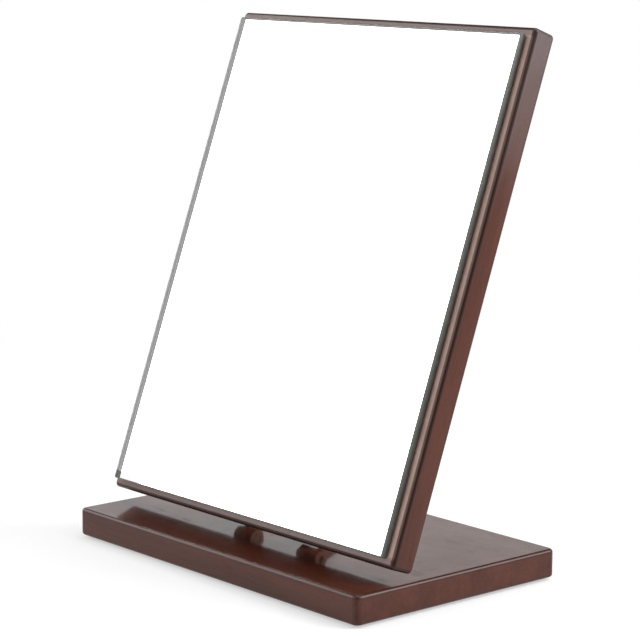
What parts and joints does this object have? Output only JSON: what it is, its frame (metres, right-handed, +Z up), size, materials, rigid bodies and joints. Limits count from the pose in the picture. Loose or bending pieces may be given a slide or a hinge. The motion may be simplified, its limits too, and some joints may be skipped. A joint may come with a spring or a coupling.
{
  "type": "countertop mirror",
  "caption": "Free-standing tilting mirror for a shop counter: a mirror glass on a wooden board, carried by friction hinges above a wooden base.",
  "frame": {"origin": "on the counter, under the middle of the base", "axes": "+X to the viewer's right, +Y to the back, +Z up; the mirror faces -Y and up"},
  "size_m": [0.25, 0.15, 0.31],
  "materials": {
    "base_wood": "dark walnut stain under semi-gloss lacquer",
    "board_wood": "dark walnut stain under semi-gloss lacquer",
    "mirror_glass": "plain silvered glass with ground edges",
    "backing_paint": "matt grey backing paint with safety film",
    "foam_tape": "matt black foam",
    "foot_rubber": "matt black rubber",
    "bracket_paint": "satin dark brown powder coat",
    "pin_steel": "dark bronze-plated steel",
    "spring_steel": "dark spring steel",
    "washer_brass": "plain bronze",
    "screw_steel": "zinc-plated steel"
  },
  "bodies": {
    "base": {"base_board": "base_wood", "foot_front_left": "foot_rubber", "foot_front_right": "foot_rubber", "foot_rear_left": "foot_rubber", "foot_rear_right": "foot_rubber", "base_bracket_left": "bracket_paint", "base_bracket_right": "bracket_paint", "base_bracket_screws": "screw_steel", "hinge_pin_left": "pin_steel", "hinge_pin_right": "pin_steel", "hinge_nut_left": "pin_steel", "hinge_nut_right": "pin_steel", "friction_washers_left": "washer_brass", "friction_washers_right": "washer_brass", "disc_springs_left": "spring_steel", "disc_springs_right": "spring_steel"},
    "mirror": {"mirror_board": "board_wood", "mirror_glass": "mirror_glass", "mirror_backing": "backing_paint", "tape_top": "foam_tape", "tape_bottom": "foam_tape", "tape_left": "foam_tape", "tape_right": "foam_tape", "tape_middle": "foam_tape", "board_bracket_left": "bracket_paint", "board_bracket_right": "bracket_paint", "board_bracket_screws": "screw_steel"}
  },
  "joints": [
    {"name": "mirror_tilt", "type": "hinge", "parent": "base", "child": "mirror", "pos_m": [0, -0.023, 0.0255], "axis": [-1, 0, 0], "range_deg": [-20, 30]}
  ]
}
